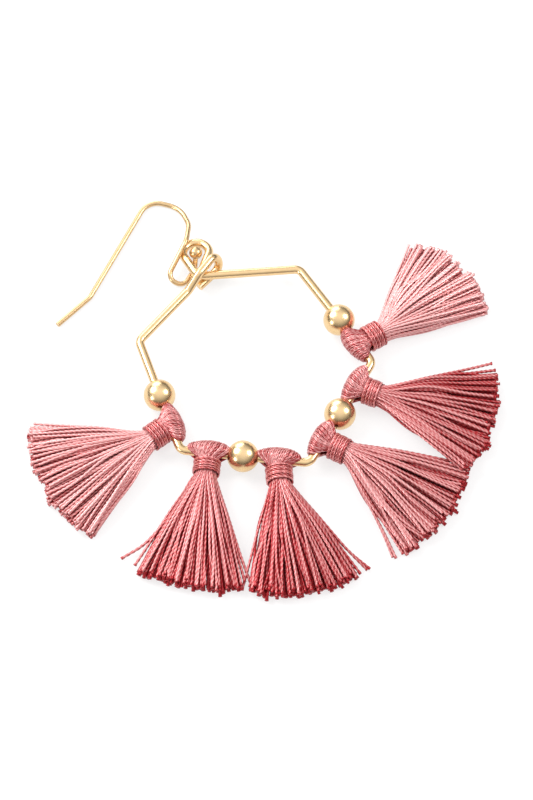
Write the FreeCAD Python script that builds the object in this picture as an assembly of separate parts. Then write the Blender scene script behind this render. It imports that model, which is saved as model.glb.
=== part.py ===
import FreeCAD, Part
import math
import os

# Tassel earring: an open hexagonal wire hoop with round beads and six thread tassels, on a fishhook ear wire.
# It lies flat, +Z up, with the hoop's axis of symmetry along Y and the ear wire at the +Y end.

# Hoop, wires and beads, in millimetres and degrees
frame_wire_r = 0.69
ear_wire_r = 0.40
ear_ball_r = 1.05
bead_r = 2.5
bead_hole_r = 0.76
lower_side = 20.2
upright_side = 20.2
lower_heading = 33.3
low_turn = 64.2
high_turn = 59.9
corner_bend = 1.35

# Closure: the left arm curls over and under the right arm, which ends in a sloping round eye
curl_bend = 1.48
curl_rise = 1.43
curl_drop = 1.53
eye_x = 1.2
eye_y = 41.95
eye_r = 2.05
eye_top_z = 0.80
eye_bend = 2.0
eye_entry = 93.0
eye_turn = 227.0
eye_steps = 3

# Thread heads, necks, bindings and fringes
thread_hole_r = 0.74
head_r = 1.85
head_end_r = 1.05
head_inset = 0.45
head_end_inset = 0.1
neck_r = 1.72
neck_z = 2.2
binding_length = 2.3
binding_inner_r = 1.77
binding_thread_r = 0.15
binding_wraps = 9
lock_count = 11
lock_groove = 0.45
fringe_full_height = 3.9
fringe_tip_height = 2.7
fringe_full_at = 0.28
floor_gap = 0.02

wire_z = bead_r
crossing_z = wire_z + 0.06

# Beads: side of the hoop, and distance of the middle from the side's first corner
bead_columns = ("name", "side", "along")
beads = (
    ("bead_1", "left", 10.1),
    ("bead_2", "lower_left", 9.8),
    ("bead_3", "lower_right", 9.75),
    ("bead_4", "right", 9.15),
)

# Tassels: side, distance of the head from the side's first corner, half length of the head,
# heading of the neck and distance of its end from the wire, headings of the fringe's two edges,
# and the fringe's length along the first edge, the middle and the last edge
tassel_columns = (
    "number", "side", "along", "half", "neck", "reach", "first_edge", "last_edge", "first", "middle", "last"
)
tassels = (
    (1, "left", 15.45, 2.95, 190.5, 4.15, 145.6, 214.8, 18.9, 17.9, 18.2),
    (2, "lower_left", 4.40, 3.00, 236.7, 3.75, 209.1, 260.0, 18.7, 18.4, 19.4),
    (3, "lower_left", 15.30, 3.08, 247.3, 4.00, 227.4, 281.4, 18.3, 18.4, 19.2),
    (4, "lower_right", 4.45, 2.90, 305.8, 4.20, 267.1, 327.0, 18.5, 18.4, 19.0),
    (5, "lower_right", 15.30, 3.08, 310.6, 3.85, 294.6, 347.3, 18.4, 18.2, 18.9),
    (6, "right", 4.00, 2.72, 3.7, 4.40, -13.6, 43.9, 17.3, 17.4, 17.1),
)

# Ear wire: corners from the straight tail to the ball, each with its bend radius
ear_wire_columns = ("x", "y", "z", "bend")
ear_wire_corners = (
    (-24.10, 40.63, 0.40, 0.0),
    (-17.34, 42.75, 0.40, 2.0),
    (-1.25, 54.50, 0.40, 3.0),
    (2.70, 50.85, 0.42, 3.9),
    (2.46, 47.00, 1.30, 4.0),
    (0.50, 43.90, 2.85, 2.5),
    (-4.93, 40.00, 1.05, 1.45),
    (-3.20, 37.68, 0.41, 1.45),
    (-0.10, 39.80, 0.41, 1.0),
    (1.05, 41.75, 1.60, 0.0),
)


def heading(angle):
    """Level unit vector at an angle from +X towards +Y."""
    return FreeCAD.Vector(math.cos(math.radians(angle)), math.sin(math.radians(angle)), 0)


def mirrored(point):
    """The same point on the other side of the hoop's axis."""
    return FreeCAD.Vector(-point.x, point.y, point.z)


def bent_wire(corners, radius):
    """Solid round wire with straight runs between its corners and an arc inside each (point, bend) corner."""
    points = [point for point, bend in corners]
    edges = []
    run_start = points[0]
    for before, (corner, bend), after in zip(points, corners[1:-1], points[2:]):
        came = (corner - before).normalize()
        goes = (after - corner).normalize()
        half_turn = came.getAngle(goes) / 2
        reach = bend * math.tan(half_turn)
        arc_start = corner - came * reach
        arc_end = corner + goes * reach
        inward = (goes - came).normalize()
        arc_middle = corner + inward * (bend / math.cos(half_turn) - bend)
        if (arc_start - run_start).dot(came) > 0.001:
            edges.append(Part.makeLine(run_start, arc_start))
        edges.append(Part.Arc(arc_start, arc_middle, arc_end).toShape())
        run_start = arc_end
    edges.append(Part.makeLine(run_start, points[-1]))
    first_way = (points[1] - points[0]).normalize()
    section = Part.Wire(Part.makeCircle(radius, points[0], first_way))
    return Part.Wire(edges).makePipeShell([section], True, False)


# Corners of the hoop, from its lowest corner round to where the arms cross
bottom = FreeCAD.Vector(0, 0, wire_z)
right_heading = lower_heading + low_turn
arm_heading = right_heading + high_turn
low_right = bottom + heading(lower_heading) * lower_side
high_right = low_right + heading(right_heading) * upright_side
arm_slope = math.tan(math.radians(arm_heading))
crossing_y = high_right.y - high_right.x * arm_slope
sides = {
    "left": (mirrored(high_right), mirrored(low_right)),
    "lower_left": (mirrored(low_right), bottom),
    "lower_right": (bottom, low_right),
    "right": (low_right, high_right),
}


def on_side(side, along):
    """Point on the wire's axis at a distance from the side's first corner, and the side's direction."""
    first, second = sides[side]
    way = (second - first).normalize()
    return first + way * along, way


def eye_plane(x, y):
    """Point on the sloping plane of the right arm's eye."""
    far = (FreeCAD.Vector(x, y, 0) - FreeCAD.Vector(0, crossing_y, 0)).Length
    full = eye_y + eye_r - crossing_y
    return FreeCAD.Vector(x, y, wire_z - (wire_z - eye_top_z) * far / full)


def eye_corners():
    """Corners that wrap the eye's round, from the entry on its left to its closing end."""
    step = eye_turn / eye_steps
    out = eye_r / math.cos(math.radians(step / 2))
    corners = []
    for index in range(eye_steps):
        side = heading(eye_entry - step * (index + 0.5) + 90) * out
        corners.append((eye_plane(eye_x + side.x, eye_y + side.y), eye_r))
    return corners


def frame_wire():
    """One wire: the left arm's curl, the hoop, and the right arm's eye."""
    left_curl = [
        (FreeCAD.Vector(-1.1, 36.25, crossing_z - curl_drop), 0),
        (FreeCAD.Vector(3.48, 37.86, crossing_z - curl_drop), curl_bend),
        (FreeCAD.Vector(3.30, 39.05, crossing_z + curl_rise), curl_bend),
        (FreeCAD.Vector(-0.75, 36.95, crossing_z + curl_rise), 1.5),
        (FreeCAD.Vector(-3.3, crossing_y + 3.3 * arm_slope, wire_z), 1.5),
    ]
    hoop = [mirrored(high_right), mirrored(low_right), bottom, low_right, high_right]
    entry_x = -0.75
    eye_start = (FreeCAD.Vector(entry_x, crossing_y + entry_x * arm_slope, wire_z), eye_bend)
    eye_end = (eye_plane(0.95, 38.75), 0)
    corners = left_curl + [(corner, corner_bend) for corner in hoop] + [eye_start] + eye_corners() + [eye_end]
    return bent_wire(corners, frame_wire_r)


def ear_hook():
    """Fishhook wire with its ball, one piece."""
    corners = [(FreeCAD.Vector(x, y, z), bend) for x, y, z, bend in ear_wire_corners]
    wire = bent_wire(corners, ear_wire_r)
    ball = Part.makeSphere(ear_ball_r, corners[-1][0])
    return wire.fuse(ball)


def bead(side, along):
    """Round bead drilled for the wire."""
    middle, way = on_side(side, along)
    drill = Part.makeCylinder(bead_hole_r, 4 * bead_r, middle - way * 2 * bead_r, way)
    return Part.makeSphere(bead_r, middle).cut(drill)


def oval(middle, way, half_width, half_height):
    """Upright oval outline across a level direction."""
    across = FreeCAD.Vector(-way.y, way.x, 0)
    up = FreeCAD.Vector(0, 0, 1)
    if half_height > half_width:
        curve = Part.Ellipse(middle + up * half_height, middle + across * half_width, middle)
    else:
        curve = Part.Ellipse(middle + across * half_width, middle + up * half_height, middle)
    return Part.Wire(curve.toShape())


def head(middle, way, inward, half):
    """Spindle of folded threads round the wire, thickest on the hoop's inner side."""
    sections = []
    for share in (-1.0, -0.85, -0.5, 0.0, 0.5, 0.85, 1.0):
        swell = (1 - share * share) ** 0.75
        inset = head_end_inset + (head_inset - head_end_inset) * swell
        radius = head_end_r + (head_r - head_end_r) * swell
        centre = middle + way * half * share + inward * inset
        sections.append(Part.Wire(Part.makeCircle(radius, centre, way)))
    return Part.makeLoft(sections, True)


def shoulder(middle, neck_way, half, reach):
    """Threads gathering from the spindle into the round neck under the binding."""
    start = middle + neck_way * 0.2
    gathered = middle + neck_way * (reach - binding_length)
    gathered.z = neck_z
    end = middle + neck_way * (reach + 0.3)
    end.z = neck_z
    wide = oval(start, neck_way, half * 0.8, head_r * 0.9)
    narrow = [oval(place, neck_way, neck_r + 0.001, neck_r) for place in (gathered, end)]
    return Part.makeLoft([wide] + narrow, True, True)


def lock_outline(middle, way, edges, side_height, ridge_height, low):
    """Upright outline across the fringe: a row of rounded locks over a straight underside."""
    across = FreeCAD.Vector(-way.y, way.x, 0)
    up = FreeCAD.Vector(0, 0, 1)
    valleys = [middle + across * edge + up * side_height(edge / edges[-1]) for edge in edges]
    outline = []
    for left, right, first, second in zip(edges, edges[1:], valleys, valleys[1:]):
        ridge_at = (left + right) / 2
        ridge = middle + across * ridge_at + up * ridge_height(ridge_at / edges[-1])
        outline.append(Part.makeLine(first, ridge))
        outline.append(Part.makeLine(ridge, second))
    low_first = middle + across * edges[0] + up * low
    low_last = middle + across * edges[-1] + up * low
    outline.append(Part.makeLine(valleys[-1], low_last))
    outline.append(Part.makeLine(low_last, low_first))
    outline.append(Part.makeLine(low_first, valleys[0]))
    return Part.Wire(outline)


def fringe(neck_end, first_edge, last_edge, lengths):
    """Locks of cut threads that fan out from the neck and lie on the floor, their ends cut on an arc."""
    middle_edge = (first_edge + last_edge) / 2
    way = heading(middle_edge)
    spread = math.radians(last_edge - first_edge)
    steps = [(2 * index / lock_count - 1) for index in range(lock_count + 1)]
    neck_half = neck_r * 0.5
    full_way = max(lengths) * 1.25

    def section(distance, low, ridge, valley):
        centre = neck_end + way * distance
        centre.z = 0
        narrowed = neck_half * (1 - max(distance, 0) / lengths[1])
        edges = [narrowed * step + max(distance, 0) * math.tan(spread / 2 * step) for step in steps]
        outline = (lambda share: valley * (1 - 0.12 * share ** 2), lambda share: ridge * (1 - 0.12 * share ** 2))
        return lock_outline(centre, way, edges, outline[0], outline[1], low)

    sections = [
        section(-0.4, neck_z - neck_r * 0.7, neck_z + neck_r * 0.75, neck_z + neck_r * 0.7),
        section(full_way * fringe_full_at, floor_gap, fringe_full_height, fringe_full_height - lock_groove),
        section(full_way, floor_gap, fringe_tip_height * 0.9, fringe_tip_height * 0.9 - lock_groove),
    ]
    fan = Part.makeLoft(sections, True, True)
    headings = (first_edge, middle_edge, last_edge)
    tips = [neck_end + heading(angle) * length for angle, length in zip(headings, lengths)]
    cut_circle = Part.Arc(*tips).toShape().Curve
    floor_centre = FreeCAD.Vector(cut_circle.Center.x, cut_circle.Center.y, -1)
    return fan.common(Part.makeCylinder(cut_circle.Radius, 8, floor_centre))


def tassel(side, along, half, neck, reach, first_edge, last_edge, lengths):
    """Thread tassel: head, shoulder, neck and fringe, with a hole along the wire."""
    middle, way = on_side(side, along)
    inward = FreeCAD.Vector(-way.y, way.x, 0)
    neck_way = heading(neck)
    neck_end = middle + neck_way * reach
    neck_end.z = neck_z
    threads = head(middle, way, inward, half)
    threads = threads.fuse(shoulder(middle, neck_way, half, reach))
    threads = threads.fuse(fringe(neck_end, first_edge, last_edge, lengths))
    drill = Part.makeCylinder(thread_hole_r, 6 * half, middle - way * 3 * half, way)
    return threads.cut(drill)


def binding(side, along, neck, reach):
    """Ring of thread wraps round the neck."""
    middle, way = on_side(side, along)
    neck_way = heading(neck)
    start = middle + neck_way * (reach - binding_length + 0.05)
    start.z = neck_z
    pitch = (binding_length - 0.1) / binding_wraps
    rise = binding_inner_r + binding_thread_r
    up = FreeCAD.Vector(0, 0, 1)
    outline = [Part.makeLine(start + up * binding_inner_r, start + up * rise)]
    for index in range(binding_wraps):
        low = start + neck_way * pitch * index + up * rise
        top = start + neck_way * pitch * (index + 0.5) + up * (rise + binding_thread_r)
        high = start + neck_way * pitch * (index + 1) + up * rise
        outline.append(Part.makeLine(low, top))
        outline.append(Part.makeLine(top, high))
    end = start + neck_way * pitch * binding_wraps
    outline.append(Part.makeLine(end + up * rise, end + up * binding_inner_r))
    outline.append(Part.makeLine(end + up * binding_inner_r, start + up * binding_inner_r))
    return Part.Face(Part.Wire(outline)).revolve(start, neck_way, 360)


def all_pieces():
    """Every piece of the earring by its node name."""
    pieces = {"frame_wire": frame_wire(), "ear_hook": ear_hook()}
    for name, side, along in beads:
        pieces[name] = bead(side, along)
    for number, side, along, half, neck, reach, first_edge, last_edge, first, middle, last in tassels:
        lengths = (first, middle, last)
        pieces[f"tassel_{number}"] = tassel(side, along, half, neck, reach, first_edge, last_edge, lengths)
        pieces[f"binding_{number}"] = binding(side, along, neck, reach)
    return pieces


# The origin is the middle of the underside of the whole earring's box
pieces = all_pieces()
box = Part.makeCompound(list(pieces.values())).optimalBoundingBox(False, False)
origin = FreeCAD.Vector(box.Center.x, box.Center.y, box.ZMin)

os.makedirs("parts", exist_ok=True)
for name, piece in pieces.items():
    piece.translate(origin * -1)
    piece.exportStep(f"parts/{name}.step")
    print(name, piece.ShapeType, len(piece.Solids), piece.isValid(), round(piece.Volume, 2))
print("origin", origin, "size", box.XLength, box.YLength, box.ZLength)
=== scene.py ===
import math

import bmesh
import bpy
import numpy as np
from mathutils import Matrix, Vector


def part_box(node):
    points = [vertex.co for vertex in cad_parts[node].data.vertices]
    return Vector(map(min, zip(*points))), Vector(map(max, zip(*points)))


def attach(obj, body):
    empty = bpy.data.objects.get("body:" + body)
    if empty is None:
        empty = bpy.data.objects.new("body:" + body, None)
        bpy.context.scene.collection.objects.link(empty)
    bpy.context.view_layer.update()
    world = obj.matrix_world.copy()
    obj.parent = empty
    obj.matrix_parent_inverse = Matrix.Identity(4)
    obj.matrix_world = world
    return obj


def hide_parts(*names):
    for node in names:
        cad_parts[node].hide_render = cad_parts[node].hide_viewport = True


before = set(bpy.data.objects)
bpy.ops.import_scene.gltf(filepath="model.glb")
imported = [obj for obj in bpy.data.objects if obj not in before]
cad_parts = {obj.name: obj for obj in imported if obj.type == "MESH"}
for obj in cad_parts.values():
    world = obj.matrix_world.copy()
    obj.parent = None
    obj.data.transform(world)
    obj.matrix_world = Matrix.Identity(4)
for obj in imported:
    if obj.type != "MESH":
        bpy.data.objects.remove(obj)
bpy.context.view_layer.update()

MM = 0.001
UP = np.array((0.0, 0.0, 1.0))
TURN = 2 * math.pi

# Hoop layout in millimetres and degrees, as the wire is bent
wire_z = 2.5
lower_side = 20.2
upright_side = 20.2
lower_heading = 33.3
low_turn = 64.2
bead_1_along = 10.1

# Necks of the tassels, and the bindings round them
neck_z = 2.2
neck_r = 1.74
binding_length = 2.85
spindle_depth = 1.25

# Camera, fitted to the hoop's even sides and the beads; its focal length is in pixels of the image
image_height = 800
camera_elevation = 63.68
camera_turn = 26.99
camera_distance = 568.7
camera_target = (-0.376, -3.216)
camera_focal_pixels = 3609.0
sensor_mm = 36.0

# Plies of a thread, swelling its section to an oval that turns once each pitch
ply_count = 2
ply_swell = 0.17
ply_pitch = 1.65
rows_a_pitch = 7.5

# Strands of a fringe: fine two-ply ones on top, and plainer, thicker ones below
fine_strand = {"radius": 0.225, "edges": 6, "swell": ply_swell, "spacing": ply_pitch / rows_a_pitch}
plain_strand = {"radius": 0.25, "edges": 5, "swell": 0.0, "spacing": 1.2}
thickness_range = (0.88, 1.1)
pitch_range = (0.9, 1.12)
shade_range = (-0.22, 0.22)
phase_range = (0, 6.28)

# Least height of a thread's axis over the table: of a strand, and of any other thread in its own radii
strand_floor = 0.3625
floor_radii = 1.2

# Ends of a strand: squeezed thin in the neck, paler by its mouth, and a little frayed where it is cut, with
# painted shade there
mouth_squeeze = 0.66
mouth_length = 7.5
mouth_paler = 0.10
paler_length = 10.0
fray_length = 0.28
fray_swell = 0.25

# Layers of a fringe, from the top: number and kind of its strands, how far each lock gathers, the layer's
# lowest and highest level in the neck from -1 to 1, and how much painted shade darkens it
layers = (
    (108, fine_strand, 0.80, -0.10, 1.00, 0.0),
    (120, plain_strand, 0.94, -1.00, -0.05, 0.15),
)
golden = (math.sqrt(5) - 1) / 2

# Locks that the strands gather in: how many, range of their widths, and spreads of their headings and lengths
locks = 11
lock_widths = (0.7, 1.3)
lock_lean = 0.5
lock_longer = 0.22

# Unevenness from strand to strand; the late sweep is a share of the early one, by its mean and spread
share_spread = 0.01
share_limit = 0.995
heading_spread = 0.75
length_spread = 0.28
sweep_spread = 0.28
late_sweep = (0.3, 0.6)
height_spread = 0.07

# Strands above a level, and within a share of the fringe's middle, that cross their neighbours: their chance,
# and spreads of their headings and sweeps
crossing_level = 0.5
crossing_share = 0.8
crossing_chance = 0.3
crossing_heading = 2.2
crossing_sweep = 0.5

# Root of a strand in the neck: how much of the neck's width and height the roots fill, how deep in the neck
# they start, and how much narrower they are there
root_width = 0.92
root_height = 0.9
root_depth = 1.2
root_taper = 0.88

# Way of a strand from the mouth to its tip: share of the way, and of the swelling above a straight line
swelling_full = 0.7
mouth_straight = 0.3
early_on, early_rise = 0.08, 0.16
middle_on, middle_rise = 0.42, 0.5
late_on, late_rise = 0.75, 0.3

# Heights of the tips, which fall towards the fringe's edges and each lock's edges
tip_lowest = 0.305
tip_rise = 2.45
edge_rounding = 0.25
lock_rounding = 0.28

# Dye of the fringes, from 0, deep, to 1, pale, with painted shade that darkens it low in a fringe and between
# locks
dye_base = 0.60
painted_shade_low = 0.22
painted_shade_between = 0.10
stray_dye = 0.56

# Tassels by number: a painted sheen that makes the fringe paler, how much paler still at the last edge,
# and painted shade that darkens the cut ends, partly the frayed fibres' own deeper colour
dye_sheen_and_shade = {
    1: (0.54, 0.0, 0.0),
    2: (-0.03, 0.0, 0.7),
    3: (-0.14, 0.07, 0.7),
    4: (0.28, -0.13, 0.7),
    5: (-0.02, -0.13, 0.7),
    6: (0.76, 0.10, 0.0),
}

# Stray threads of each tassel: heading, length from the neck's end, and height of the tip
strays = {
    1: ((142.7, 18.5, 1.0), (144.6, 18.9, 0.7)),
    2: ((198.9, 18.6, 0.4), (206.5, 18.2, 0.7), (262.2, 18.6, 1.2), (264.6, 19.2, 0.9)),
    3: ((288.5, 19.4, 0.4), (287.0, 19.3, 0.6), (283.0, 19.2, 1.0), (224.4, 18.3, 0.8)),
    4: ((264.9, 18.4, 0.4), (266.0, 18.8, 0.6), (269.9, 18.7, 0.8)),
    5: ((352.4, 18.9, 1.0), (348.9, 19.1, 0.7)),
    6: ((47.0, 17.0, 1.0), (45.2, 16.6, 0.8)),
}

# Strays: the share of its way past the fringe's edge by which one bows back, in full from so many degrees
# past the edge, and where its root lies across and up the neck
stray_bow = 0.42
late_stray = 9.0
stray_share = 0.97
stray_level = 0.2

# Strands of one tassel that lie over its neighbour: their number, range of headings, where each lies in its
# share of that range, heights of the tips, places across and up the neck, spreads of their lengths and
# sweeps, their dye, and the painted shade at their cut ends
overlying_tassel = 5
overlying_strands = 14
overlying_headings = (287.0, 296.0)
overlying_jitter = (0.2, 0.8)
overlying_heights = (2.3, 3.2)
overlying_share = -0.93
overlying_spread = 0.35
overlying_level = 0.5
overlying_length_spread = 0.25
overlying_sweep = 0.12
overlying_dye = 0.55
overlying_cut_shade = 0.6

# Head threads, folded over the wire in an outer and an inner layer: share of the spindle's radius, how much
# thicker a thread is, its edges, swell and spacing, and how much painted shade darkens it
head_layers = (
    (1.0, 1.0, 6, 0.12, 0.2, 0.0),
    (0.84, 1.3, 5, 0.0, 0.6, 0.6),
)
head_loops = 21
head_thread_r = 0.19
head_thickness = (0.9, 1.12)
head_pitch = 1.6
head_pitch_range = (0.9, 1.1)
head_dye = (0.15, 0.8)

# Spindle of the head: radius and inset at its ends, and what they gain at its middle; how far it stretches
# past a tassel's half length, how the threads are spread and slant along it, and how they gather in the neck
spindle_end_r = 0.84
spindle_gain_r = 0.70
spindle_end_inset = 0.08
spindle_gain_inset = 0.24
spindle_round = 0.75
spindle_stretch = 1.08
station_spread = 0.012
station_limit = 0.985
thread_slant = 0.95
neck_width = 0.84
neck_height = 0.78
root_in_binding = 1.0

# Waist between spindle and neck: its place from neck to spindle, its spread, and its depth
waist_blend = 0.52
waist_spread = 0.20
waist_side = 0.76
waist_over = 0.80
waist_under = 0.82
waist_slant = 0.5
waist_drop = 0.02

# A head thread's turn round the spindle, from the top to the underside: shares of the spindle's radius
# inward and up, and share of the slant
spindle_turn = (
    (0.0, 1.0, -0.3),
    (0.72, 0.70, 0.2),
    (1.0, 0.0, 0.5),
    (0.72, -0.70, 0.5),
    (0.0, -1.0, 0.3),
)

# Binding's thread, wound in close turns so many of its radii off the neck
wrap_thread_r = 0.175
wrap_pitch = 0.315
wrap_ply_pitch = 1.5
wrap_rows = 42
wrap_edges = 6
wrap_lift = 1.5

# Unevenness of the turns, and how fast and from where each kind swings as they go: a wobble and a tremble
# along the neck, a wobble off it, and the dye
wrap_wobble, wobble_rate, wobble_start = 0.04, 0.37, (0, 6)
wrap_tremble, tremble_rate = 0.02, 1.13
lift_rate, lift_start = 0.23, 1.0
wrap_dye, dye_swing, dye_rate, dye_start = 0.5, 0.3, 0.41, 2.0

# Tassels: side of the hoop, distance of the head from the side's first corner, half length of the head,
# heading of the neck and distance of its end from the wire, headings of the fringe's two edges,
# and the fringe's lengths along the first edge, the middle and the last edge
tassel_columns = ("number", "side", "along", "half", "neck", "reach", "first_edge", "last_edge", "lengths")
tassels = (
    (1, "left", 15.45, 2.95, 190.5, 4.15, 145.6, 214.8, (18.9, 17.9, 18.2)),
    (2, "lower_left", 4.40, 3.00, 236.7, 3.75, 209.1, 260.0, (18.7, 18.4, 19.4)),
    (3, "lower_left", 15.30, 3.08, 247.3, 4.00, 227.4, 281.4, (18.3, 18.4, 19.2)),
    (4, "lower_right", 4.45, 2.90, 305.8, 4.20, 270.6, 327.0, (18.7, 18.4, 19.0)),
    (5, "lower_right", 15.30, 3.08, 310.6, 3.85, 294.6, 347.3, (18.4, 18.2, 18.9)),
    (6, "right", 4.00, 2.72, 3.7, 4.40, -13.6, 43.9, (17.3, 17.4, 17.1)),
)
first_seed = 40

# Colour of a thread: shares of its dye, which carries painted sheen and shade, of the fibres and of painted
# shade in the groove between the plies. Fibres are stretched along the thread, and their relief and the reach
# of the painted shade in a crevice are in metres
dye_and_light_share = 0.75
fibre_share = 0.42
groove_shade_share = 0.17
colour_offset = 0.10
fibre_stretch = (1.0, 6.0, 1.0)
fibre_relief = 0.000015
fibre_strength = 0.4
painted_shade_reach = 0.0009
thread_metallic = 0.42

# Finishes of the threads: pale and deep colour, roughness, and how much painted shade darkens the crevices
thread_finishes = {
    "fringe_thread": ((0.90, 0.485, 0.475, 1.0), (0.40, 0.020, 0.026, 1.0), 0.22, 0.72),
    "head_thread": ((0.81, 0.43, 0.42, 1.0), (0.32, 0.020, 0.024, 1.0), 0.25, 0.50),
    "wrap_thread": ((0.92, 0.39, 0.38, 1.0), (0.30, 0.008, 0.011, 1.0), 0.24, 0.7),
}

# Finishes of the metals by the start of their nodes' names: name, colour, roughness, and the scale and
# strength of the fine marks
gold_finishes = {
    "frame_wire": ("hoop_gold", (0.90, 0.66, 0.38, 1.0), 0.25, 1800.0, 0.09),
    "ear_hook": ("ear_gold", (0.74, 0.53, 0.30, 1.0), 0.30, 1200.0, 0.04),
    "bead": ("bead_gold", (0.90, 0.67, 0.39, 1.0), 0.27, 1500.0, 0.30),
}

# Soft cloud of deeper gold in the metals, and their fine marks with the depth in metres
cloud_scale = 900.0
cloud_deepening = (0.88, 0.82, 0.70)
uneven_roughness = 0.10
mark_depth = 0.000004

# Table, and room with its brightness at two heights
floor_size = 1.5
floor_grey = 0.27
floor_glow = 0.72
room_stops = ((0.10, 0.05), (1.0, 1.40))
room_strength = 0.85

# Softboxes in metres and watts: distance to the camera's right, away from it and up, width, and power
softboxes = (
    ("softbox_left", -0.50, 0.25, 0.50, 0.48, 4.3),
    ("softbox_right", 0.52, 0.06, 0.50, 0.30, 2.0),
    ("softbox_front", -0.62, -0.38, 0.24, 0.20, 1.2),
    ("softbox_back", -0.25, 0.75, 0.26, 0.60, 3.0),
)


def heading(angle):
    """Level unit vector at an angle from +X towards +Y."""
    return np.array((math.cos(math.radians(angle)), math.sin(math.radians(angle)), 0.0))


def left_of(way):
    """Level vector a quarter turn to the left of a level one."""
    return np.array((-way[1], way[0], 0.0))


# Corners of the hoop in its own layout, and the step from that layout to the frame
bottom = np.array((0.0, 0.0, wire_z))
low_right = bottom + heading(lower_heading) * lower_side
high_right = low_right + heading(lower_heading + low_turn) * upright_side
flip = np.array((-1.0, 1.0, 1.0))
sides = {
    "left": (high_right * flip, low_right * flip),
    "lower_left": (low_right * flip, bottom),
    "lower_right": (bottom, low_right),
    "right": (low_right, high_right),
}


def on_side(side, along):
    """Point on the wire's axis at a distance from the side's first corner, and the side's direction."""
    first, second = sides[side]
    way = (second - first) / np.linalg.norm(second - first)
    return first + way * along, way


bead_low, bead_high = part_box("bead_1")
bead_middle = (np.array(bead_low) + np.array(bead_high)) / 2 / MM
to_frame = bead_middle - on_side("left", bead_1_along)[0]
to_frame[2] = 0.0


class ThreadMesh:
    """Many threads joined in one mesh, with a UV map along and round each thread and a shade for each."""

    def __init__(self):
        self.points = []
        self.uvs = []
        self.shades = []
        self.loops = []
        self.sizes = []
        self.count = 0

    def add(self, path, radius, reference, edges, swell, pitch, phase=0.0, shade=0.5):
        """One closed thread along a path; swell makes its section two-ply, turning once each pitch.
        The reference is the way that the seam of its UV map faces."""
        ahead = np.gradient(path, axis=0)
        ahead /= np.linalg.norm(ahead, axis=1)[:, None]
        side = reference - ahead * (ahead @ reference)[:, None]
        side /= np.linalg.norm(side, axis=1)[:, None]
        other = np.cross(ahead, side)
        gone = np.concatenate(((0.0,), np.cumsum(np.linalg.norm(np.diff(path, axis=0), axis=1))))
        around = np.arange(edges) * (TURN / edges)
        twist = phase + gone * TURN / pitch
        plies = 1 + swell * np.cos(ply_count * (around[None, :] - twist[:, None]))
        reach = np.broadcast_to(radius, len(path))[:, None] * plies
        ring = path[:, None, :]
        ring = ring + side[:, None, :] * (np.cos(around)[None, :] * reach)[:, :, None]
        ring = ring + other[:, None, :] * (np.sin(around)[None, :] * reach)[:, :, None]
        rows = len(path)
        self.points.append(ring.reshape(-1, 3))
        self.shades.append(np.repeat(np.broadcast_to(shade, rows), edges))
        self.wall(rows, edges)
        self.map_uv(gone, around, twist)

    def wall(self, rows, edges):
        """Faces round a thread of rings, and one at each end."""
        index = np.arange(rows * edges).reshape(rows, edges) + self.count
        nexts = np.roll(index, -1, axis=1)
        quads = np.stack((index[:-1], nexts[:-1], nexts[1:], index[1:]), axis=-1).reshape(-1)
        self.loops.extend((quads, index[0, ::-1], index[-1]))
        self.sizes.append(np.full((rows - 1) * edges, 4))
        self.sizes.append(np.array((edges, edges)))
        self.count += rows * edges

    def map_uv(self, gone, around, twist):
        """UV map of those faces: millimetres gone, and the angle from the plies' turn."""
        rows, edges = len(gone), len(around)
        low = np.broadcast_to(gone[:-1, None], (rows - 1, edges))
        high = np.broadcast_to(gone[1:, None], (rows - 1, edges))
        near = around[None, :] - twist[:-1, None]
        far = around[None, :] - twist[1:, None]
        corners = ((low, near), (low, near + around[1]), (high, far + around[1]), (high, far))
        self.uvs.append(np.stack([np.stack(corner, axis=-1) for corner in corners], axis=-2).reshape(-1, 2))
        for end in (0, -1):
            self.uvs.append(np.stack((np.full(edges, gone[end]), around - twist[end]), axis=1))

    def finish(self, name, material):
        """The joined threads as an object in the frame's place."""
        points = (np.concatenate(self.points) + to_frame) * MM
        loops = np.concatenate(self.loops).astype(np.int32)
        sizes = np.concatenate(self.sizes).astype(np.int32)
        starts = np.concatenate(((0,), np.cumsum(sizes)[:-1])).astype(np.int32)
        mesh = bpy.data.meshes.new(name)
        mesh.vertices.add(len(points))
        mesh.vertices.foreach_set("co", points.astype(np.float32).reshape(-1))
        mesh.loops.add(len(loops))
        mesh.loops.foreach_set("vertex_index", loops)
        mesh.polygons.add(len(sizes))
        mesh.polygons.foreach_set("loop_start", starts)
        mesh.polygons.foreach_set("use_smooth", np.ones(len(sizes), dtype=bool))
        mesh.update(calc_edges=True)
        uv = mesh.uv_layers.new(name="thread")
        uv.data.foreach_set("uv", np.concatenate(self.uvs).astype(np.float32).reshape(-1))
        shade = mesh.attributes.new("shade", "FLOAT", "POINT")
        shade.data.foreach_set("value", np.concatenate(self.shades).astype(np.float32))
        mesh.materials.append(material)
        mesh.validate()
        piece = bpy.data.objects.new(name, mesh)
        bpy.context.scene.collection.objects.link(piece)
        return piece


class Sock:
    """A shader socket that does arithmetic."""

    def __init__(self, graph, socket):
        self.graph = graph
        self.socket = socket

    def _math(self, operation, other, swap=False):
        pair = (other, self) if swap else (self, other)
        return self.graph.node("ShaderNodeMath", {"operation": operation}, {0: pair[0], 1: pair[1]})

    def __add__(self, other):
        return self._math("ADD", other)

    __radd__ = __add__

    def __mul__(self, other):
        return self._math("MULTIPLY", other)

    __rmul__ = __mul__

    def __sub__(self, other):
        return self._math("SUBTRACT", other)

    def __rsub__(self, other):
        return self._math("SUBTRACT", other, swap=True)


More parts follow.
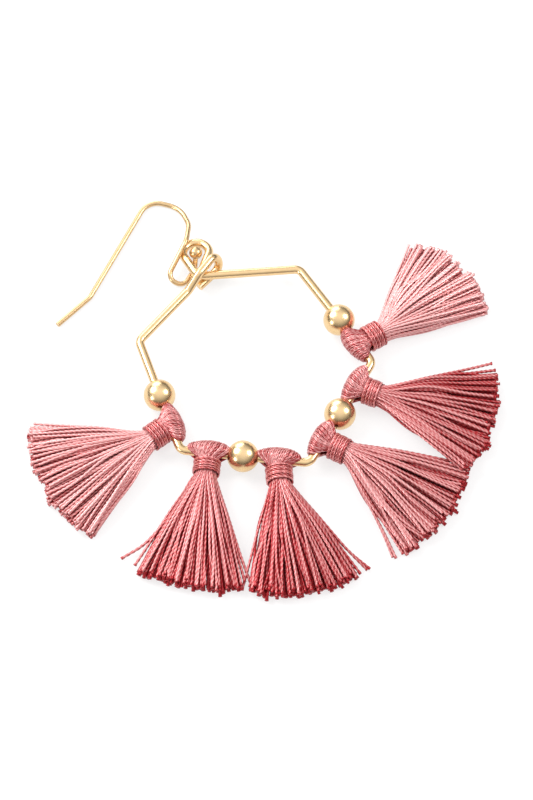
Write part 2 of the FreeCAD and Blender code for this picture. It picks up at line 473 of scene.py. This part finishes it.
class Graph:
    """The node tree of a material or of the world."""

    def __init__(self, owner, shader="Principled BSDF"):
        owner.use_nodes = True
        self.owner = owner
        self.tree = owner.node_tree
        self.shader = self.tree.nodes[shader]

    def node(self, kind, settings, inputs, output=0):
        """A node with its settings first, then the values or links of its sockets."""
        made = self.tree.nodes.new(kind)
        for key, value in settings.items():
            if key == "stops":
                for element, (place, grey) in zip(made.color_ramp.elements, value):
                    element.position = place
                    element.color = (grey, grey, grey, 1.0)
            else:
                setattr(made, key, value)
        for key, value in inputs.items():
            self.feed(made.inputs[key], value)
        return Sock(self, made.outputs[output])

    def feed(self, socket, value):
        """A value or a link into a socket."""
        if isinstance(value, Sock):
            self.tree.links.new(value.socket, socket)
        else:
            socket.default_value = value

    def surface(self, **values):
        """Values or links of the shader's own sockets, by name with _ for a space."""
        for key, value in values.items():
            self.feed(self.shader.inputs[key.replace("_", " ")], value)
        return self.owner

    def noise(self, vector, scale, detail):
        """Soft noise about 0.5."""
        inputs = {"Vector": vector, "Scale": scale, "Detail": detail}
        return self.node("ShaderNodeTexNoise", {}, inputs, output="Fac")

    def blend(self, factor, first, second):
        """Mix of two colours."""
        inputs = {0: factor, 6: first, 7: second}
        return self.node("ShaderNodeMix", {"data_type": "RGBA"}, inputs, output=2)

    def bump(self, height, distance, strength):
        """Relief of the surface, for its Normal."""
        inputs = {"Height": height, "Distance": distance, "Strength": strength}
        return self.node("ShaderNodeBump", {}, inputs, output="Normal")


def thread_material(name, pale, deep, roughness, painted_crevice_shade):
    """Silky two-ply thread: fibres along the plies, painted shade in the groove between them, a dye for each
    thread, and painted shade that deepens the colour in the crevices between threads."""
    graph = Graph(bpy.data.materials.new(name))
    place = graph.node("ShaderNodeUVMap", {"uv_map": "thread"}, {})
    stretched = graph.node("ShaderNodeMapping", {}, {"Vector": place, "Scale": fibre_stretch})
    fibres = graph.noise(stretched, scale=1.0, detail=3.0)
    round_way = graph.node("ShaderNodeSeparateXYZ", {}, {"Vector": place}, output="Y")
    # painted shade: the colour darkens in the groove between the plies
    groove_shade = graph.node("ShaderNodeMath", {"operation": "COSINE"}, {0: round_way * ply_count})
    # the shade attribute holds each thread's dye together with its painted sheen and painted shade
    dye_and_painted_light = graph.node("ShaderNodeAttribute", {"attribute_name": "shade"}, {}, output="Fac")
    near_only = {"samples": 6, "only_local": True}
    # painted shade: ambient occlusion darkens the colour in the crevices between threads
    open_sky = graph.node("ShaderNodeAmbientOcclusion", near_only, {"Distance": painted_shade_reach}, output="AO")
    mottled = dye_and_painted_light * dye_and_light_share + fibres * fibre_share + groove_shade * groove_shade_share - colour_offset
    colour = graph.blend(mottled - (1.0 - open_sky) * painted_crevice_shade, deep, pale)
    return graph.surface(
        Base_Color=colour,
        Metallic=thread_metallic,
        Roughness=roughness,
        Normal=graph.bump(fibres, fibre_relief, fibre_strength),
        Sheen_Weight=0.06,
        Sheen_Roughness=0.35,
        Sheen_Tint=(1.0, 0.70, 0.72, 1.0),
        Specular_IOR_Level=0.25,
    )


def gold_material(name, colour, roughness, grain, marks):
    """Gold-coloured polished metal with faint drawing marks and a soft unevenness."""
    graph = Graph(bpy.data.materials.new(name))
    place = graph.node("ShaderNodeTexCoord", {}, {}, output="Object")
    cloud = graph.noise(place, cloud_scale, detail=3.0)
    fine = graph.noise(place, grain, detail=4.0)
    deeper_tone_and_shade = tuple(channel * shift for channel, shift in zip(colour, cloud_deepening)) + (1.0,)
    return graph.surface(
        Base_Color=graph.blend(cloud, deeper_tone_and_shade, colour),
        Metallic=1.0,
        Roughness=roughness + (fine - 0.5) * uneven_roughness,
        Normal=graph.bump(fine, mark_depth, marks),
    )


threads_of = {name: thread_material(name, *finish) for name, finish in thread_finishes.items()}
gold_of = {start: gold_material(*finish) for start, finish in gold_finishes.items()}


def smooth_path(points, spacing):
    """A Catmull-Rom curve through the points, sampled about every spacing."""
    points = np.asarray(points, dtype=float)
    padded = np.vstack((2 * points[0] - points[1], points, 2 * points[-1] - points[-2]))
    pieces = []
    for index in range(1, len(points)):
        p0, p1, p2, p3 = padded[index - 1:index + 3]
        steps = max(2, int(round(np.linalg.norm(p2 - p1) / spacing)))
        t = (np.arange(steps) / steps)[:, None]
        bend = (2 * p0 - 5 * p1 + 4 * p2 - p3) * t ** 2 + (3 * p1 - p0 - 3 * p2 + p3) * t ** 3
        pieces.append(0.5 * (2 * p1 + (p2 - p0) * t + bend))
    pieces.append(points[-1:])
    return np.vstack(pieces)


def edge_length(share, lengths):
    """Length of the fringe at a share from its first edge, -1, to its last, 1."""
    mean = (lengths[0] + lengths[2]) / 2
    return lengths[1] + share * (lengths[2] - lengths[0]) / 2 + share ** 2 * (mean - lengths[1])


def strand_path(draw, neck_end, neck_way, share, level, angle, length, tip_z, kind, sweeps):
    """Path of one strand from inside the neck to its cut end; sweeps are how far it swings sideways,
    before the middle and before the end."""
    chord = math.sqrt(1 - (level * root_height) ** 2)
    root = left_of(neck_way) * (share * chord * neck_r * root_width) + UP * (level * neck_r * root_height)
    inside = neck_end - neck_way * root_depth + root * root_taper
    mouth = neck_end + root
    way = heading(angle)
    tip = neck_end * (1, 1, 0) + way * length + UP * tip_z
    line = tip - mouth
    sideways = left_of(way)
    swelling = swelling_full * (level + root_height)
    early = mouth + neck_way * mouth_straight + line * early_on + UP * swelling * early_rise
    middle_up = swelling * middle_rise + draw.normal(0, height_spread)
    middle = mouth + line * middle_on + sideways * sweeps[0] + UP * middle_up
    late_up = swelling * late_rise + draw.normal(0, height_spread)
    late = mouth + line * late_on + sideways * sweeps[1] + UP * late_up
    path = smooth_path((inside, mouth, early, middle, late, tip), kind["spacing"])
    path[:, 2] = np.maximum(path[:, 2], strand_floor)
    return path


def add_strand(threads, draw, path, kind, dye_and_painted_light, cut_end_shade):
    """One strand, squeezed thin at the neck, with a slightly frayed cut end that painted shade darkens."""
    left = np.linalg.norm(path - path[-1], axis=1)
    gone = np.linalg.norm(path - path[0], axis=1)
    fray = np.clip(1 - left / fray_length, 0, 1)
    squeeze = mouth_squeeze + (1 - mouth_squeeze) * np.clip(gone / mouth_length, 0, 1)
    radius = kind["radius"] * draw.uniform(*thickness_range) * (1 + fray_swell * fray) * squeeze
    pitch = ply_pitch * draw.uniform(*pitch_range)
    phase = draw.uniform(*phase_range)
    shade = dye_and_painted_light + draw.uniform(*shade_range) + mouth_paler * np.clip(left / paler_length - 1, -1, 1)
    # painted shade darkens the frayed cut end, partly the frayed fibres' own deeper colour
    threads.add(path, radius, -UP, kind["edges"], kind["swell"], pitch, phase, shade - cut_end_shade * fray)


def fringe(draw, number, neck_end, neck_way, first_edge, last_edge, lengths):
    """All strands of one fringe: they gather in locks of uneven width, with gaps between."""
    threads = ThreadMesh()
    # painted sheen pales the whole fringe, and painted shade darkens its cut ends
    painted_sheen, paler_last, cut_end_shade = dye_sheen_and_shade[number]
    widths = draw.uniform(*lock_widths, locks)
    lock_edges = np.concatenate(((0.0,), np.cumsum(widths) / widths.sum())) * 2 - 1
    lean = draw.normal(0, lock_lean, locks)
    longer = draw.normal(0, lock_longer, locks)
    for strands, kind, gather, lowest, highest, deeper_tone_and_shade in layers:
        for index in range(strands):
            share = 2 * (index + 0.5) / strands - 1 + draw.normal(0, share_spread)
            share = max(-share_limit, min(share_limit, share))
            lock = int(np.searchsorted(lock_edges, share)) - 1
            middle = (lock_edges[lock] + lock_edges[lock + 1]) / 2
            half = (lock_edges[lock + 1] - lock_edges[lock]) / 2
            local = (share - middle) / half
            gathered = middle + local * half * gather
            level = lowest + (highest - lowest) * ((index * golden) % 1.0)
            angle = (first_edge + last_edge) / 2 + gathered * (last_edge - first_edge) / 2
            angle += lean[lock] + draw.normal(0, heading_spread)
            length = edge_length(share, lengths) + longer[lock] + draw.normal(0, length_spread)
            rounding = 1 - edge_rounding * share ** 2 - lock_rounding * local ** 2
            tip_z = tip_lowest + (level + 1) / 2 * tip_rise * rounding
            sweep = draw.normal(0, sweep_spread)
            if level > crossing_level and abs(share) < crossing_share and draw.uniform() < crossing_chance:
                angle += draw.normal(0, crossing_heading)
                sweep += draw.normal(0, crossing_sweep)
            sweeps = (sweep, sweep * draw.normal(*late_sweep))
            path = strand_path(draw, neck_end, neck_way, share, level, angle, length, tip_z, kind, sweeps)
            # painted sheen pales every strand of the fringe
            dye_and_painted_light = dye_base + painted_sheen + paler_last * share
            # painted shade: darker low in the fringe, between locks and in the lower layer
            dye_and_painted_light -= painted_shade_low * (1 - level) + painted_shade_between * local ** 2 + deeper_tone_and_shade
            add_strand(threads, draw, path, kind, dye_and_painted_light, cut_end_shade)
    return threads


def add_strays(threads, draw, number, neck_end, neck_way, first_edge, last_edge):
    """Single threads that stand off the fringe's edges."""
    painted_sheen, _, cut_end_shade = dye_sheen_and_shade[number]
    for angle, length, tip_z in strays[number]:
        way = math.copysign(1.0, angle - (first_edge + last_edge) / 2)
        edge = first_edge if way < 0 else last_edge
        beyond = math.radians(angle - edge) * length
        bow = -beyond * stray_bow * min(1.0, abs(angle - edge) / late_stray) ** 2
        share = way * stray_share
        path = strand_path(
            draw, neck_end, neck_way, share, stray_level, angle, length, tip_z, fine_strand, (bow, bow)
        )
        # the tassel's painted sheen pales its strays too
        add_strand(threads, draw, path, fine_strand, stray_dye + painted_sheen, cut_end_shade)


def add_overlying(threads, draw, neck_end, neck_way, edge_reach):
    """Strands at one edge of the fringe that lie on top of the next tassel."""
    count = overlying_strands
    first, last = overlying_headings
    for index in range(count):
        angle = first + (last - first) * (index + draw.uniform(*overlying_jitter)) / count
        length = edge_reach + draw.normal(0, overlying_length_spread)
        tip_z = draw.uniform(*overlying_heights)
        share = overlying_share + overlying_spread * index / count
        sweep = draw.normal(0, overlying_sweep)
        level = overlying_level
        path = strand_path(
            draw, neck_end, neck_way, share, level, angle, length, tip_z, fine_strand, (sweep, sweep)
        )
        add_strand(threads, draw, path, fine_strand, overlying_dye, overlying_cut_shade)


def head_points(station, shrink, middle, root, way, neck_way, half):
    """Points of one head thread: from the neck over the spindle at a station along it, and back under it."""
    inward = left_of(way)
    across = left_of(neck_way)
    flow = 1.0 if across @ way > 0 else -1.0
    swell = (1 - station ** 2) ** spindle_round
    radius = (spindle_end_r + spindle_gain_r * swell) * shrink
    inset = spindle_end_inset + spindle_gain_inset * swell
    slant = way * thread_slant * (1 - station ** 2)
    centre = middle + way * (half * spindle_stretch * station) + inward * inset
    side = across * (flow * station * neck_r * neck_width)
    height = math.sqrt(1 - (station * neck_width) ** 2) * neck_r * neck_height
    waist = middle * waist_blend + root * (1 - waist_blend) + way * (half * station * waist_spread)
    waist = waist + side * waist_side
    over = radius * waist_over * waist_blend + height * (1 - waist_blend)
    under = radius * waist_under * waist_blend + height * (1 - waist_blend) + waist_drop
    points = [root + side + UP * height, waist + UP * over - slant * waist_slant]
    for inward_share, up_share, slant_share in spindle_turn:
        points.append(centre + inward * radius * inward_share + UP * radius * up_share + slant * slant_share)
    return points + [waist - UP * under, root + side - UP * height]


def head(draw, middle, way, neck_way, half, bound_from):
    """Threads folded over the wire, fanning out from the neck over the spindle and back under it."""
    threads = ThreadMesh()
    root = middle + neck_way * (bound_from + root_in_binding) + UP * (neck_z - wire_z)
    for layer, (shrink, thicker, edges, swell, spacing, deeper_tone_and_shade) in enumerate(head_layers):
        for index in range(head_loops):
            station = 2 * (index + 0.5 + 0.5 * layer) / head_loops - 1 + draw.normal(0, station_spread)
            station = max(-station_limit, min(station_limit, station))
            path = smooth_path(head_points(station, shrink, middle, root, way, neck_way, half), spacing)
            path[:, 2] = np.maximum(path[:, 2], head_thread_r * floor_radii)
            radius = head_thread_r * draw.uniform(*head_thickness) * thicker
            pitch = head_pitch * draw.uniform(*head_pitch_range)
            phase = draw.uniform(*phase_range)
            # painted shade darkens the inner layer of head threads
            threads.add(path, radius, way, edges, swell, pitch, phase, draw.uniform(*head_dye) - deeper_tone_and_shade)
    return threads


def wraps(draw, neck_end, neck_way, length):
    """One thread wound round the neck in close turns, a little unevenly."""
    threads = ThreadMesh()
    turns = int(length / wrap_pitch)
    turn = np.linspace(0, TURN * turns, wrap_rows * turns)
    pitch = (length - 2 * wrap_thread_r) / turns
    start = neck_end - neck_way * (length - wrap_thread_r)
    wobble = wrap_wobble * np.sin(turn * wobble_rate + draw.uniform(*wobble_start))
    wobble = wobble + wrap_tremble * np.sin(turn * tremble_rate)
    radius = neck_r + wrap_thread_r * wrap_lift + wrap_wobble * np.sin(turn * lift_rate + lift_start)
    path = start[None, :] + neck_way[None, :] * (pitch * turn / TURN + wobble)[:, None]
    path = path + left_of(neck_way)[None, :] * (np.cos(turn) * radius)[:, None]
    path = path + UP[None, :] * (np.sin(turn) * radius)[:, None]
    path[:, 2] = np.maximum(path[:, 2], wrap_thread_r * floor_radii)
    shade = wrap_dye + dye_swing * np.sin(turn * dye_rate + dye_start)
    threads.add(path, wrap_thread_r, neck_way, wrap_edges, ply_swell, wrap_ply_pitch, shade=shade)
    return threads


def tassel(number, side, along, half, neck, reach, first_edge, last_edge, lengths):
    """One tassel: the fringe, the head and the binding's wraps."""
    draw = np.random.default_rng(first_seed + number)
    middle, way = on_side(side, along)
    neck_way = heading(neck)
    neck_end = middle + neck_way * reach
    neck_end[2] = neck_z
    bound = min(binding_length, reach - spindle_depth)

    strands = fringe(draw, number, neck_end, neck_way, first_edge, last_edge, lengths)
    add_strays(strands, draw, number, neck_end, neck_way, first_edge, last_edge)
    if number == overlying_tassel:
        add_overlying(strands, draw, neck_end, neck_way, lengths[0])
    piece = strands.finish(f"fringe_{number}", threads_of["fringe_thread"])
    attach(piece, "root")
    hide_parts(f"tassel_{number}")

    folded = head(draw, middle, way, neck_way, half, reach - bound)
    piece = folded.finish(f"head_{number}", threads_of["head_thread"])
    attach(piece, "root")

    wound = wraps(draw, neck_end, neck_way, bound)
    piece = wound.finish(f"wraps_{number}", threads_of["wrap_thread"])
    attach(piece, "root")
    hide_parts(f"binding_{number}")


for row in tassels:
    tassel(**dict(zip(tassel_columns, row)))


def finish_metal():
    """Gold-coloured finishes for the hoop, the ear wire and the beads."""
    for start, finish in gold_of.items():
        for name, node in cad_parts.items():
            if name.startswith(start):
                node.material_slots[0].material = finish


def floor():
    """Plain white table."""
    outline = bmesh.new()
    bmesh.ops.create_grid(outline, x_segments=1, y_segments=1, size=floor_size)
    mesh = bpy.data.meshes.new("floor")
    outline.to_mesh(mesh)
    outline.free()
    graph = Graph(bpy.data.materials.new("floor_white"))
    white = graph.surface(
        Base_Color=(floor_grey, floor_grey, floor_grey, 1.0),
        Roughness=0.7,
        Specular_IOR_Level=0.0,
        Emission_Color=(1.0, 1.0, 1.0, 1.0),
        Emission_Strength=floor_glow,
    )
    mesh.materials.append(white)
    piece = bpy.data.objects.new("floor", mesh)
    bpy.context.scene.collection.objects.link(piece)


def softbox(name, place, size, power):
    """Round softbox that faces the earring."""
    data = bpy.data.lights.new(name, "AREA")
    data.shape = "DISK"
    data.size = size
    data.energy = power
    light = bpy.data.objects.new(name, data)
    light.location = place
    light.rotation_euler = (-Vector(place)).to_track_quat("-Z", "Y").to_euler()
    bpy.context.scene.collection.objects.link(light)


def studio():
    """Softboxes round the earring, in a room whose ceiling is brighter than its walls."""
    graph = Graph(bpy.data.worlds.new("studio"), "Background")
    place = graph.node("ShaderNodeTexCoord", {}, {}, output="Generated")
    height = graph.node("ShaderNodeSeparateXYZ", {}, {"Vector": place}, output="Z")
    grey = graph.node("ShaderNodeValToRGB", {"stops": room_stops}, {"Fac": height}, output="Color")
    bpy.context.scene.world = graph.surface(Color=grey, Strength=room_strength)
    right = heading(-camera_turn)
    back = heading(90 - camera_turn)
    for name, sideways, away, height, size, power in softboxes:
        softbox(name, right * sideways + back * away + UP * height, size, power)
    bpy.context.scene.view_settings.view_transform = "Standard"


def camera():
    """Camera at the photograph's angle and distance."""
    data = bpy.data.cameras.new("camera")
    data.sensor_width = sensor_mm
    data.lens = camera_focal_pixels * sensor_mm / image_height
    data.clip_start = 0.01
    data.clip_end = 10.0
    view = bpy.data.objects.new("camera", data)
    back = heading(90 - camera_turn) * camera_distance * math.cos(math.radians(camera_elevation))
    target = np.array((camera_target[0], camera_target[1], 0.0))
    place = target - back + UP * camera_distance * math.sin(math.radians(camera_elevation))
    view.location = place * MM
    view.rotation_euler = (math.radians(90 - camera_elevation), 0.0, math.radians(-camera_turn))
    bpy.context.scene.collection.objects.link(view)
    bpy.context.scene.camera = view


finish_metal()
floor()
studio()
camera()
